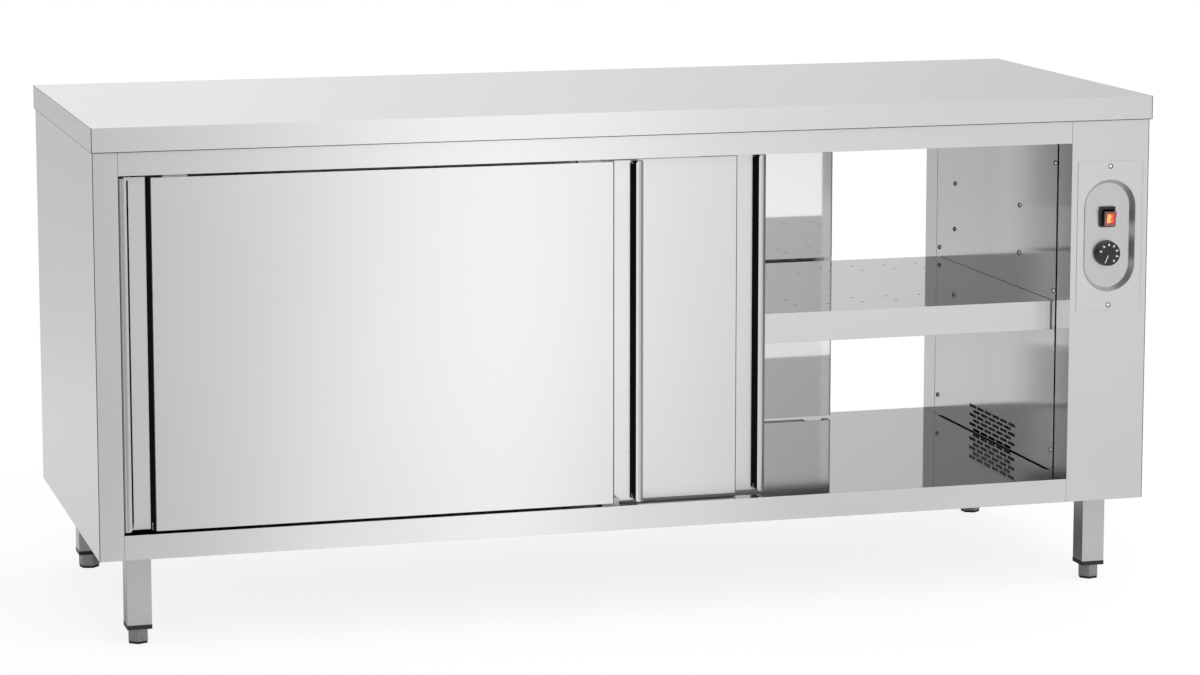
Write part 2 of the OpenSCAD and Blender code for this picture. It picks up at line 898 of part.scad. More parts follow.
// Curved throat round the blower wheel, its end plates on the base, and a bearing boss
module fan_housing() {
  t = skin_t;
  z0 = body_z + t;
  top = fan_z + fan_r + housing_over;
  right = fan_x + scroll_r + t;
  c = housing_corner;
  k = outlet_corner;
  color(ZINC) difference() {
    union() {
      along_y(-end_y, end_y) scroll_profile();
      for (front = [true, false]) on_side(front) {
        along_y(-end_y - t, -end_y)
          polygon([[outlet_x, z0], [right, z0], [right, top - c], [right - c, top],
                   [outlet_x + k, top], [outlet_x, top - k]]);
        box([outlet_x, -end_y - flange_w, z0], [right, -end_y, z0 + t]);
      }
      rod_y([fan_x, -end_y - t - boss_l, fan_z], boss_r, boss_l + t);
    }
    rod_y([fan_x, -end_y - t - boss_l - overcut, fan_z], stub_r + stub_fit, boss_l + t + 2*overcut);
    rod_y([fan_x, end_y - overcut, fan_z], stub_r + stub_gap, t + 2*overcut);
  }
}

// A thin arc from angle a to angle b
module arc(r, t, a, b) {
  steps = 6;
  intersection() {
    difference() {
      circle(r = r + t, $fn = 96);
      circle(r = r, $fn = 96);
    }
    polygon(concat([[0, 0]],
      [for (i = [0 : steps]) let (c = a + (b - a)*i/steps) 2*r*[cos(c), sin(c)]]));
  }
}

module scroll_profile() {
  t = skin_t;
  turn = 80;
  translate([fan_x, fan_z]) {
    arc(scroll_r, t, -90, 0.5);
    translate([scroll_drift, 0]) arc(scroll_r - scroll_drift, t, 0, turn);
    translate([outlet_x - fan_x, -scroll_r - t]) square([fan_x - outlet_x + t/2, t]);
  }
  translate([outlet_x, outlet_top]) square([outlet_lip[0], t]);
  translate([outlet_x + outlet_lip[0] - t, outlet_top]) square([t, outlet_lip[1]]);
}

module fan_motor() {
  y0 = end_y + skin_t;
  c = motor_core/2;
  color(DULL) translate([fan_x, y0, fan_z]) difference() {
    union() {
      rod_y([0, 0, 0], motor_r, motor_l);
      box([-c, motor_core_y[0], -c], [c, motor_core_y[1], c]);
    }
    rod_y([0, -overcut, 0], stub_r + stub_fit, motor_well);
  }
}

// Cross-flow wheel: curved blades between end discs, with a stub shaft at each end
module fan_impeller() {
  reach = end_y - fan_len/2 + skin_t + disc_t;
  color(ZINC) translate([fan_x, 0, fan_z]) {
    along_y(-fan_len/2, fan_len/2) for (i = [0 : fan_blades - 1]) rotate(i*360/fan_blades)
      intersection() {
        difference() {
          circle(r = fan_r - blade_in, $fn = 96);
          circle(r = fan_r - blade_w, $fn = 96);
        }
        translate([fan_r - blade_w/2, overcut - blade_r]) difference() {
          circle(r = blade_r + blade_t/2);
          circle(r = blade_r - blade_t/2);
        }
      }
    for (y = [-fan_len/2, -disc_t/2, fan_len/2 - disc_t]) rod_y([0, y, 0], fan_r, disc_t);
    rod_y([0, -end_y - skin_t - boss_l, 0], stub_r, reach + boss_l);
    rod_y([0, fan_len/2 - disc_t, 0], stub_r, reach + stub_in);
  }
}

// Two sheathed rods through a stack of fins, with end brackets on the back of the wall
module heating_element() {
  x0 = open_x1 + liner_t;
  x1 = outlet_x - outlet_gap;
  z0 = heater_z[0] - fin_over;
  z1 = heater_z[1] + fin_over;
  y0 = -heater_y;
  pitch = 2*(heater_y - fin_end)/(heater_fins - 1);
  color(BRIGHT) {
    for (z = heater_z) rod_y([heater_x, y0 - rod_over, z], rod_r, 2*(heater_y + rod_over));
    for (i = [0 : heater_fins - 1]) {
      y = y0 + fin_end + i*pitch;
      box([x0 + fin_gap, y - fin_t/2, z0], [x1, y + fin_t/2, z1]);
    }
    for (front = [true, false]) on_side(front) {
      box([x0, y0 - bracket_t, z0], [x1, y0, z1]);
      box([x0, y0 - bracket_foot, z0], [x0 + bracket_t, y0, z1]);
    }
  }
}

// ---- Wiring parts ----

module component_plate() {
  x0 = open_x1 + liner_t;
  color(ZINC) difference() {
    box([x0, equip_y - equip_dy - equip_edge, equip_z - equip_dz - equip_edge],
        [x0 + equip_t, equip_y + equip_dy + equip_edge, equip_z + equip_dz + equip_edge]);
    equip_screw_holes();
  }
}

// Block with a pair of screw wells for each way
module terminal_block() {
  x0 = open_x1 + liner_t + equip_t;
  w = block_ways*way_w/2;
  color(BRIGHT) translate([x0, equip_y, equip_z]) difference() {
    union() {
      box([0, -w, -block_h/2], [block_t, w, block_h/2]);
      box([0, -w, -ridge_h/2], [ridge_t, w, ridge_h/2]);
    }
    for (i = [0 : block_ways - 1], s = [-1, 1])
      rod_x([block_t/2, (i + 0.5)*way_w - w, s*well_rise], well_r, block_t);
  }
}

// Threaded body through the base, a hexagon and a domed nut below it, and a locknut above
module cable_gland() {
  nut_z = -gland_hex[1] - gland_nut[1];
  dome_z = nut_z - gland_dome[1];
  color(BLACK) translate([gland_x, gland_y, body_z]) difference() {
    union() {
      translate([0, 0, -gland_hex[1]]) cylinder(h = gland_hex[1], d = gland_hex[0], $fn = 6);
      translate([0, 0, nut_z]) cylinder(h = gland_nut[1] + overcut, r = gland_nut[0]);
      translate([0, 0, dome_z]) cylinder(h = gland_dome[1], r1 = gland_dome[0], r2 = gland_nut[0]);
      translate([0, 0, -overcut]) cylinder(h = gland_top + overcut, r = gland_r);
      translate([0, 0, skin_t]) cylinder(h = gland_lock[1], d = gland_lock[0], $fn = 6);
    }
    translate([0, 0, dome_z - overcut]) cylinder(h = gland_top - dome_z + 2*overcut, r = gland_bore_r);
  }
}

// ---- Doors, drawn with the lower front left corner at the origin ----

// Puts a piece of a door on its side, in its track and at its place along the opening
module at_door(front, track, x) {
  on_side(front) translate([x, track_y(track), door_z]) children();
}

// Half of the front sheet's outline: lip, leaning grip channel and the start of the face
function half_section() = [
  [0, 0], [lip_w, 0], [lip_w + grip_lean, channel_d],
  [lip_w + grip_mouth - grip_lean, channel_d], [lip_w + grip_mouth, 0]];

function flipped(points) = [for (i = [len(points) - 1 : -1 : 0]) [door_w - points[i][0], points[i][1]]];

// Hollow cell behind the lip
function lip_cell() = [
  [door_sheet, door_sheet], [lip_w + lean*door_sheet - lean_t, door_sheet],
  [lip_w + lean*channel_d - lean_t, channel_d], [door_sheet, channel_d]];

// Hollow behind the main face, open to the back
function main_hollow() =
  let (edge = lip_w + grip_mouth + lean_t, deep = skin_d + overcut)
  let (half = [[edge - lean*deep, deep], [edge - lean*door_sheet, door_sheet]])
  concat(half, flipped(half));

// Takes the square corner off the channel side of the upper left lip
module lip_corner_cut() {
  translate([lip_w, 0, door_h]) difference() {
    box([-lip_r, -overcut, -lip_r], [grip_lean + overcut/2, channel_d, overcut]);
    rod_y([-lip_r, -2*overcut, -lip_r], lip_r, channel_d + 4*overcut);
  }
}

// Repeats a piece of the upper left corner in all four corners of a door
module in_door_corners() {
  for (right = [0, 1], low = [0, 1])
    translate([right*door_w, 0, low*door_h]) mirror([right, 0, 0]) mirror([0, 0, low]) children();
}

// Front sheet with its grip channels, side edges and top flange, grooved along the bottom
module door_skin() {
  slot_y = (door_t - guide_slot)/2;
  inner = lip_w + grip_mouth + 2*door_sheet;
  color(STEEL) difference() {
    linear_extrude(door_h)
      polygon(concat(half_section(), flipped(half_section()), [[door_w, skin_d], [0, skin_d]]));
    translate([0, 0, edge_plug]) linear_extrude(door_h - 2*edge_plug) polygon(lip_cell());
    translate([0, 0, edge_plug]) linear_extrude(door_h - 2*edge_plug) polygon(flipped(lip_cell()));
    translate([0, 0, door_sheet]) linear_extrude(door_h - 2*door_sheet) polygon(main_hollow());
    box([-overcut, slot_y, -overcut], [door_w + overcut, slot_y + guide_slot, guide_slot_h]);
    box([inner, slot_y + guide_slot - overcut, -overcut],
        [door_w - inner, skin_d + overcut, 2*door_sheet]);
    in_door_corners() lip_corner_cut();
  }
}

// Back sheet over the whole door, with a flange under the skin's top and one along its foot
module door_liner() {
  x0 = lip_w + grip_mouth + hem;
  in = (door_t + guide_slot)/2;
  s = door_sheet;
  color(BRIGHT) union() {
    box([liner_edge, skin_d, 0], [door_w - liner_edge, door_t, door_h]);
    box([x0, in, 0], [door_w - x0, door_t, s]);
    box([x0, in, door_h - 2*s], [door_w - x0, door_t, door_h - s]);
  }
}

// Two plates on the door's top edge, each with the headed pin of its wheel
module door_hangers() {
  pin_end = wheel_y + wheel_w/2 + head_gap;
  y1 = plate_y + plate_t;
  w = hanger_w/2;
  for (x = hanger_xs) color(ZINC) translate([x, 0, 0]) {
    box([-w, hanger_edge, door_h], [w, door_t - hanger_edge, door_h + hanger_foot_t]);
    box([-w, plate_y, door_h], [w, y1, axle_z - axle_d]);
    box([-wheel_r, plate_y, door_h], [wheel_r, y1, axle_z + hanger_over]);
    rod_y([0, plate_y, axle_z], axle_d/2, pin_end - plate_y + head_t);
    rod_y([0, pin_end, axle_z], head_r, head_t);
  }
}

// Grooved wheel with its middle on the origin and its axle along Y
module door_wheel() {
  w = wheel_w/2;
  g = groove_w/2;
  bore = axle_d/2 + axle_fit;
  color(BRIGHT) rotate([-90, 0, 0]) rotate_extrude()
    polygon([[bore, -w], [wheel_r, -w], [wheel_r, -g - groove_edge], [groove_r, -g],
             [groove_r, g], [wheel_r, g + groove_edge], [wheel_r, w], [bore, w]]);
}

module door_wheel_at(x) {
  translate([x, wheel_y, axle_z]) door_wheel();
}

module door_part(door) {
  at_door(door[0], door[1], door[2]) children();
}

// ---- One line for each piece ----

worktop();
worktop_stiffeners();
left_side_panel();
right_side_panel();
left_inner_wall();
right_inner_wall();
wall_posts();
ceiling_panel();
front_top_rail();
rear_top_rail();
front_bottom_rail();
rear_bottom_rail();
floor_pan();
base_panel();
middle_shelf();
shelf_supports();
dome_screws();
leg(-1, -1);  // front_left_leg
leg(1, -1);  // front_right_leg
leg(-1, 1);  // rear_left_leg
leg(1, 1);  // rear_right_leg
leg_caps();
foot(-1, -1);  // front_left_foot
foot(1, -1);  // front_right_foot
foot(-1, 1);  // rear_left_foot
foot(1, 1);  // rear_right_foot
control_plate();
switch_housing();
switch_rocker();
thermostat_body();
thermostat_shaft();
thermostat_knob();
fan_housing();
fan_motor();
fan_impeller();
heating_element();
component_plate();
terminal_block();
cable_gland();
floor_guides();
door_part(front_left) door_skin();  // front_left_door_skin
door_part(front_left) door_liner();  // front_left_door_liner
door_part(front_left) door_hangers();  // front_left_door_hangers
door_part(front_left) door_wheel_at(hanger_xs[0]);  // front_left_door_wheel_a
door_part(front_left) door_wheel_at(hanger_xs[1]);  // front_left_door_wheel_b
door_part(front_right) door_skin();  // front_right_door_skin
door_part(front_right) door_liner();  // front_right_door_liner
door_part(front_right) door_hangers();  // front_right_door_hangers
door_part(front_right) door_wheel_at(hanger_xs[0]);  // front_right_door_wheel_a
door_part(front_right) door_wheel_at(hanger_xs[1]);  // front_right_door_wheel_b
door_part(rear_left) door_skin();  // rear_left_door_skin
door_part(rear_left) door_liner();  // rear_left_door_liner
door_part(rear_left) door_hangers();  // rear_left_door_hangers
door_part(rear_left) door_wheel_at(hanger_xs[0]);  // rear_left_door_wheel_a
door_part(rear_left) door_wheel_at(hanger_xs[1]);  // rear_left_door_wheel_b
door_part(rear_right) door_skin();  // rear_right_door_skin
door_part(rear_right) door_liner();  // rear_right_door_liner
door_part(rear_right) door_hangers();  // rear_right_door_hangers
door_part(rear_right) door_wheel_at(hanger_xs[0]);  // rear_right_door_wheel_a
door_part(rear_right) door_wheel_at(hanger_xs[1]);  // rear_right_door_wheel_b
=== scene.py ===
"""Looks of the plate warmer cabinet, in metres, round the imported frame."""

import json
import math

import bpy
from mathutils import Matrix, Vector


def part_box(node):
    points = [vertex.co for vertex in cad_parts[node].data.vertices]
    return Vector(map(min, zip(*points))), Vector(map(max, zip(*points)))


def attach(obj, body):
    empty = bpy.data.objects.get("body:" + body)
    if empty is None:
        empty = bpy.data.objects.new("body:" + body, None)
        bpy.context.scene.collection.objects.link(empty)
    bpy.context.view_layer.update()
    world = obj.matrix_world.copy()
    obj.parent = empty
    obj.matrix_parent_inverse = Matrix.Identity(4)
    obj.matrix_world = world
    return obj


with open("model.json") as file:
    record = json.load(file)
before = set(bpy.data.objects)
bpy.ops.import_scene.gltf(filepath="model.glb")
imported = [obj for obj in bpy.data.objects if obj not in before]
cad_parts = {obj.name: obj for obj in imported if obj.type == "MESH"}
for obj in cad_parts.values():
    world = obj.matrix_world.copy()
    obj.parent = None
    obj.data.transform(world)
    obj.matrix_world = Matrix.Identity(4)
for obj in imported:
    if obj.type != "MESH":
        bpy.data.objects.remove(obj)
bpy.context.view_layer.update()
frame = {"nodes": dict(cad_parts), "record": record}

WHITE = (1.0, 1.0, 1.0, 1.0)

# ---- Camera, floor and room ----

# The camera stands where the photograph was taken from, with its principal point above the picture's middle.
CAM_PLACE = Vector((-1.708, -6.086, 1.493))
CAM_YAW = math.radians(15.906)
CAM_PITCH = math.radians(8.195)
CAM_REACH = 100
SENSOR_W = 36.0
CAM_LENS = 110.96
CAM_SHIFT_Y = -0.08

# The lamp in front of the object
KEY_PLACE = (0.5, -4.5, 3.5)
KEY_TARGET = (0, 0, 0.5)
KEY_SIZE = (4, 2)
KEY_POWER = 30

# Brightness curves are stored at half their level, because a stored colour ends at 1.
STORED_LEVEL = 0.5
# What belongs in front gives way to what belongs behind between these places.
FRONT_TO_BACK = (-0.3, 0.3)

FLOOR_HALF = 12.0
FLOOR_COLOUR = (0.85, 0.85, 0.85, 1)
FLOOR_ROUGH = 0.9
# What the eye sees of the floor: the part that takes the shadow, and the glow that fills the rest up to white
SHADOW_COLOUR = (0.22, 0.22, 0.22, 1)
SHOWN_GLOW = 0.84
# The floor's brightness in the metal: across a slanting strip of light in front, and by metres behind
SWEEP_SLANT = 0.277
SWEEP_RANGE = (-2.5, 2.5)
SWEEP_LEVELS = [(0.0, 0.56), (0.11, 0.60), (0.18, 0.73), (0.24, 0.87), (0.30, 1.20), (0.38, 1.86), (0.43, 2.08),
                (0.50, 1.56), (0.55, 1.24), (0.62, 1.32), (0.76, 1.26), (1.0, 1.00)]
BEHIND_RANGE = (0.0, 6.0)
BEHIND_LEVELS = [(0.0, 1.11), (0.25, 1.11), (0.55, 0.96), (0.9, 0.90)]
# How much of the strip shows by metres in front, from far to near (each is twice the share)
NEAR_RANGE = (-3.2, -0.6)
NEAR_LEVELS = [(0.0, 2.0), (0.60, 1.74), (0.85, 1.60), (1.0, 1.90)]
# Far to the left in front the floor is dimmer, past a slanting border.
DIM_SLANT = 0.6
DIM_SIDE = (-0.83, -0.63)
DIM_COLOUR = (0.30, 0.30, 0.30)
# Under the object the floor gets a painted shadow.
UNDER_X = (0.74, 0.90)
UNDER_Y = (0.25, 0.45)
UNDER_PAINTED_SHADOW = 0.75
SWEEP_GLOW = 0.75

# The room's brightness in the metal, by how far to the right it lies, in front and behind
ROOM_FRONT = [(0.0, 0.44), (0.21, 0.44), (0.29, 1.00), (0.36, 1.10), (0.44, 0.70), (0.56, 0.76), (0.59, 1.20),
              (0.62, 1.95), (0.64, 1.70), (0.655, 0.80), (0.67, 0.75), (0.70, 1.00), (1.0, 1.00)]
ROOM_BEHIND = [(0.0, 0.42), (0.42, 0.45), (0.50, 0.70), (0.54, 1.19), (0.58, 1.14), (0.62, 1.02), (0.66, 0.90),
               (0.70, 0.78), (1.0, 0.74)]

# ---- Measures that the finishes and the small pieces follow ----

WORKTOP_LO, WORKTOP_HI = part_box("worktop")
SHELF_LO, SHELF_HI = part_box("middle_shelf")
SWITCH_LO, SWITCH_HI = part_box("switch_rocker")
DOOR_LO, DOOR_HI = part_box("front_left_door_skin")
PLATE_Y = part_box("control_plate")[0].y
SIDE_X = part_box("right_side_panel")[1].x

# A point less than this far from a sheet's outer face belongs to that face.
APRON_FACE = 0.0005
SHELF_FACE = 0.0006
SKIRT_FACE = 0.0013
RECESS_FACE = 0.002
# The side panels' inner faces at the doorways lie nearer the middle than this.
RETURN_X = 0.875
# An inner wall is painted paler from here to its front edge, as painted light.
WALL_PAINTED_LIGHT = (-0.30, 0.02)
# How wide a painted shade line is at a bend, where a door's panel begins, and the width of its rolled edges
SHADE_LINE_W = 0.0013
DOOR_BEND = 0.050
LIP_ROLL = 0.009
# From which slope on a face counts as a face along an axis
FACE_SLOPE = (0.8, 0.9)
RECESS_SLOPE = (0.80, 0.95)
CHANNEL_SLOPE = (0.45, 0.75)
# A door's face looks into the compartment where its place times its slope, both along Y, is less than this.
DOOR_INSIDE = -0.2

# Middle of the rocker, the lit window in its cap, the window's soft border, the rim with its painted highlight, and
# the back of the cap
SWITCH_X = (SWITCH_LO.x + SWITCH_HI.x)/2
SWITCH_Z = (SWITCH_LO.z + SWITCH_HI.z)/2
LAMP_W = 0.0125
LAMP_H = 0.0155
LAMP_BLUR = 0.0006
HIGHLIGHT_RIM_START = 0.0012
HIGHLIGHT_RIM_END = 0.0020
CAP_BACK_Y = SWITCH_LO.y + 0.006
CAP_BACK_BLUR = 0.0004
LAMP_GLOW = 0.55

# The knob's wedges and line, as points to the right and up from their own centre
MARK_PROUD = 0.00008
DIAL_MARKS = 7
DIAL_R = 0.016
DIAL_START = math.radians(-73)
DIAL_STEP = math.radians(36)
WEDGE = [(-0.0020, -0.0022), (0.0020, -0.0022), (0.0003, 0.0024), (-0.0003, 0.0024)]
POINTER = [(-0.0007, 0.0032), (0.0007, 0.0032), (0.0007, 0.0174), (-0.0007, 0.0174)]
POINTER_TURN = math.radians(203)
POINTER_T = 0.0006
# The switch's signs: ring radii, the bar, and where they sit on the two leaning halves of the cap
RING_R = (0.0018, 0.0012)
RING_SIDES = 24
BAR = [(-0.0004, -0.0014), (0.0004, -0.0014), (0.0004, 0.0014), (-0.0004, 0.0014)]
SIGN_SHIFT = -0.001
RING_UP = 0.00296
RING_BACK = 0.00237
BAR_DOWN = 0.00655
BAR_BACK = 0.00360
CAP_LEAN_UP = -0.298
CAP_LEAN_LOW = -0.0248

# The shelf's sheet, the width of its lips and how far its ends reach towards the walls
SHEET_T = 0.0012
SHELF_LIP = 0.015
SHELF_END = 0.0085
# The strip in each rear corner: how far it lies behind the wall's face, and how far it reaches each way
SEAM_BACK = 0.0004
SEAM_LAP = 0.003
SEAM_REACH = 0.012

# ---- Node helpers ----

# Most of a noise lies between these.
NOISE_LO = 0.3
NOISE_HI = 0.7


def new_material(name):
    mat = bpy.data.materials.new(name)
    mat.use_nodes = True
    tree = mat.node_tree
    shader = tree.nodes["Principled BSDF"]
    return mat, tree, shader


def feed(tree, value, socket):
    """Links a socket to value if that is a socket too, or else sets it to value."""
    if isinstance(value, bpy.types.NodeSocket):
        tree.links.new(value, socket)
    else:
        socket.default_value = value


def add(tree, kind, **inputs):
    """A node with named inputs, each a value or a socket to link from."""
    node = tree.nodes.new(kind)
    for name, value in inputs.items():
        feed(tree, value, node.inputs[name.replace("_", " ")])
    return node


def parts_of(tree, output):
    """X, Y and Z of an object's own coordinates or of its own normal."""
    coords = tree.nodes.new("ShaderNodeTexCoord")
    split = add(tree, "ShaderNodeSeparateXYZ", Vector=coords.outputs[output])
    return [split.outputs[axis] for axis in "XYZ"]


def noise(tree, scale, detail=2.0):
    """Value noise stretched by scale, 0 to 1."""
    coords = tree.nodes.new("ShaderNodeTexCoord")
    mapping = add(tree, "ShaderNodeMapping", Vector=coords.outputs["Object"], Scale=scale)
    return add(tree, "ShaderNodeTexNoise", Vector=mapping.outputs["Vector"], Scale=1.0, Detail=detail).outputs["Fac"]


def remap(tree, value, lo, hi, from_lo=NOISE_LO, from_hi=NOISE_HI):
    node = add(tree, "ShaderNodeMapRange", Value=value, From_Min=from_lo, From_Max=from_hi, To_Min=lo, To_Max=hi)
    return node.outputs["Result"]


def rising(tree, value, span):
    """0 below a span and 1 above it."""
    return remap(tree, value, 0.0, 1.0, *span)


def falling(tree, value, span):
    """1 below a span and 0 above it."""
    return remap(tree, value, 1.0, 0.0, *span)


def grey_mix(tree, value, dark, light):
    """Dark where a noise is low and light where it is high."""
    node = add(tree, "ShaderNodeValToRGB", Fac=value)
    for element, place, colour in zip(node.color_ramp.elements, (NOISE_LO, NOISE_HI), (dark, light)):
        element.position = place
        element.color = (*colour, 1)
    return node.outputs["Color"]


def ramp(tree, value, stops):
    """A smooth curve through (position, brightness) stops, with positions from 0 to 1."""
    node = add(tree, "ShaderNodeValToRGB", Fac=value)
    node.color_ramp.interpolation = "EASE"
    elements = node.color_ramp.elements
    while len(elements) < len(stops):
        elements.new(0.5)
    for element, (place, level) in zip(elements, stops):
        element.position = place
        element.color = (STORED_LEVEL*level, STORED_LEVEL*level, STORED_LEVEL*level, 1)
    return node.outputs["Color"]


def math_node(tree, operation, first, second=0.0):
    node = tree.nodes.new("ShaderNodeMath")
    node.operation = operation
    for socket, value in zip(node.inputs, (first, second)):
        feed(tree, value, socket)
    return node.outputs[0]


def size_of(tree, value):
    return math_node(tree, "ABSOLUTE", value)


def both(tree, first, second):
    return math_node(tree, "MULTIPLY", first, second)


def either(tree, first, second):
    return math_node(tree, "MAXIMUM", first, second)


def without(tree, mask):
    return math_node(tree, "SUBTRACT", 1.0, mask)


def colour_mix(tree, factor, first, second):
    """Blends two colours, each a value or a socket, by a factor from 0 to 1."""
    mix = add(tree, "ShaderNodeMix", Factor=factor)
    mix.data_type = "RGBA"
    for socket, value in ((mix.inputs[6], first), (mix.inputs[7], second)):
        feed(tree, value if isinstance(value, bpy.types.NodeSocket) else (*value, 1), socket)
    return mix.outputs[2]


def mix_shaders(tree, factor, first, second):
    mix = tree.nodes.new("ShaderNodeMixShader")
    for socket, source in zip(mix.inputs, (factor, first, second)):
        tree.links.new(source, socket)
    return mix.outputs[0]


def add_shaders(tree, first, second):
    node = tree.nodes.new("ShaderNodeAddShader")
    for socket, source in zip(node.inputs, (first, second)):
        tree.links.new(source, socket)
    return node.outputs[0]


def bump(tree, shader, height, strength, distance):
    node = add(tree, "ShaderNodeBump", Height=height, Strength=strength, Distance=distance)
    tree.links.new(node.outputs["Normal"], shader.inputs["Normal"])
    return node


# ---- Masks: 1 on a part of a sheet and 0 elsewhere ----

def facing(tree, axis, slope=FACE_SLOPE):
    """Faces that look along an axis, either way."""
    return rising(tree, size_of(tree, parts_of(tree, "Normal")["XYZ".index(axis)]), slope)


def beyond(tree, axis, place, both_sides=False):
    """Points whose own coordinate lies past a place."""
    part = parts_of(tree, "Object")["XYZ".index(axis)]
    return math_node(tree, "GREATER_THAN", size_of(tree, part) if both_sides else part, place)


def is_return(tree):
    """A side panel's inner faces at the doorways."""
    return both(tree, without(tree, beyond(tree, "X", RETURN_X, both_sides=True)), facing(tree, "X"))


# The front half, where the side returns are painted paler and the door liners get a duller finish, as painted light.
def is_front_half_painted_light(tree):
    return without(tree, beyond(tree, "Y", 0.0))


def painted_light_towards_front(tree):
    """Painted light: none of an inner wall's rear half, all of its front edge."""
    return falling(tree, parts_of(tree, "Object")[1], WALL_PAINTED_LIGHT)


def is_shelf_front(tree):
    """The outer faces of the shelf's two aprons."""
    return both(tree, beyond(tree, "Y", SHELF_HI.y - APRON_FACE, both_sides=True), facing(tree, "Y"))


def is_shelf_inside_painted_light(tree):
    """The faces of the shelf under its top, painted pale as painted light."""
    return without(tree, beyond(tree, "Z", SHELF_HI.z - SHELF_FACE))


def is_worktop_painted_shade(tree):
    """Painted shade: the folded end of the worktop's skirt, its upper edge at both ends and its four corners, painted
    dark.
    """
    end = without(tree, beyond(tree, "Z", WORKTOP_LO.z + SKIRT_FACE))
    edge = both(tree, beyond(tree, "Z", WORKTOP_HI.z - SHADE_LINE_W), facing(tree, "X"))
    corner = both(tree, beyond(tree, "X", WORKTOP_HI.x - SHADE_LINE_W, both_sides=True), facing(tree, "Y"))
    return either(tree, either(tree, edge, corner), end)


def is_side_corner_painted_shade(tree):
    """The bend between a side panel and its jamb, painted dark as a line of painted shade."""
    return both(tree, beyond(tree, "X", SIDE_X - SHADE_LINE_W, both_sides=True), facing(tree, "Y"))


def is_recess_wall(tree):
    return without(tree, facing(tree, "Y", RECESS_SLOPE))


# The recess floor, painted darker as painted shade.
def is_recess_floor_painted_shade(tree):
    return beyond(tree, "Y", PLATE_Y + RECESS_FACE)


def is_door_inside(tree):
    """The folds of a door that face the compartment, on either long side."""
    inward = math_node(tree, "MULTIPLY", parts_of(tree, "Object")[1], parts_of(tree, "Normal")[1])
    return math_node(tree, "LESS_THAN", inward, DOOR_INSIDE)


def is_shaded_channel_wall(tree):
    """The leaning walls of a door's channels, which are painted black as painted shade."""
    return facing(tree, "X", CHANNEL_SLOPE)


def from_door_edge(tree):
    """Distance from the nearer upright edge of a door."""
    across = parts_of(tree, "Generated")[0]
    share = math_node(tree, "MINIMUM", across, without(tree, across))
    return math_node(tree, "MULTIPLY", share, DOOR_HI.x - DOOR_LO.x)


def is_door_bend_painted_shade(tree):
    """The bend where a door's panel begins, painted dark as a line of painted shade."""
    off = size_of(tree, math_node(tree, "SUBTRACT", from_door_edge(tree), DOOR_BEND + SHADE_LINE_W/2))
    return math_node(tree, "LESS_THAN", off, SHADE_LINE_W/2)


def rolled_lip(tree):
    """Height of a door's two upright edges, which are rolled over, and no mask."""
    inward = math_node(tree, "MINIMUM", from_door_edge(tree), LIP_ROLL)
    left = math_node(tree, "SUBTRACT", LIP_ROLL, inward)
    square = math_node(tree, "SUBTRACT", LIP_ROLL**2, math_node(tree, "MULTIPLY", left, left))
    return math_node(tree, "SQRT", math_node(tree, "MAXIMUM", square, 0.0))


# ---- Materials ----

# Highlights stretch up and down on upright sheets, and from front to back on level ones.
ACROSS_GRAIN = (0.0, 0.001, 1.0)
UPRIGHT_GRAIN = (0.0, 1.0, 0.001)
# The grain's scale along each axis, its height, the clouds' scale, and the radius at which sheets are folded
LONG_GRAIN = (6, 900, 900)
GRAIN_HEIGHT = 0.00005
CLOUDS = (2.2, 2.2, 2.2)
EDGE_R = 0.0009


def sheet(tree, shader, tint, rough, spread=0.01, grain=LONG_GRAIN, depth=0.02, cloud=0.008, brushed=0.0,
          along=ACROSS_GRAIN, painted_shading=None, roll=None, edge=EDGE_R, metal=1.0):
    """Rolled or brushed sheet: a fine grain along the first axis, and slow clouds in colour and polish.
    along is the way that a brushed sheet stretches its highlights. painted_shading is a mask with a colour for where
    it is 1, which paints shade at bends, edges and recesses and light on pale faces, roll is the height of edges that
    are rolled over, edge is the radius of all other edges, and metal is 0 for a sheet painted black as shade."""
    shader.inputs["Metallic"].default_value = metal
    shader.inputs["Specular IOR Level"].default_value = 0.5*metal
    fine = noise(tree, grain)
    slow = noise(tree, CLOUDS, detail=3.0)
    face = grey_mix(tree, slow, tuple(c - cloud for c in tint), tuple(c + cloud for c in tint))
    if painted_shading:
        mask, other = painted_shading
        face = colour_mix(tree, mask(tree), face, other)
    tree.links.new(face, shader.inputs["Base Color"])
    polish = remap(tree, slow, rough - spread, rough + spread)
    streak = math_node(tree, "ADD", remap(tree, fine, -spread, spread), polish)
    tree.links.new(streak, shader.inputs["Roughness"])
    normal = add(tree, "ShaderNodeBevel", Radius=edge).outputs[0]
    if roll:
        normal = add(tree, "ShaderNodeBump", Height=roll(tree), Strength=1.0, Distance=1.0, Normal=normal).outputs[0]
    grained = bump(tree, shader, fine, depth, GRAIN_HEIGHT)
    tree.links.new(normal, grained.inputs["Normal"])
    if brushed:
        shader.inputs["Anisotropic"].default_value = brushed
        way = add(tree, "ShaderNodeCombineXYZ", X=along[0], Y=along[1], Z=along[2])
        tree.links.new(way.outputs["Vector"], shader.inputs["Tangent"])


def steel(name, finish, *zones):
    """A sheet with one finish, and with another finish where each zone's mask is 1."""
    mat, tree, shader = new_material(name)
    sheet(tree, shader, **finish)
    so_far = shader.outputs[0]
    for mask, other_finish in zones:
        other = tree.nodes.new("ShaderNodeBsdfPrincipled")
        sheet(tree, other, **other_finish)
        so_far = mix_shaders(tree, mask(tree), so_far, other.outputs[0])
    tree.links.new(so_far, tree.nodes["Material Output"].inputs["Surface"])
    return mat


def plastic(name, colour, rough):
    mat, tree, shader = new_material(name)
    grain = noise(tree, (2500, 2500, 2500))
    dark = tuple(0.8*c for c in colour)
    light = tuple(min(1.0, 1.2*c) for c in colour)
    tree.links.new(grey_mix(tree, grain, dark, light), shader.inputs["Base Color"])
    tree.links.new(remap(tree, grain, rough - 0.05, rough + 0.05), shader.inputs["Roughness"])
    bump(tree, shader, grain, 0.2, 0.0001)
    return mat


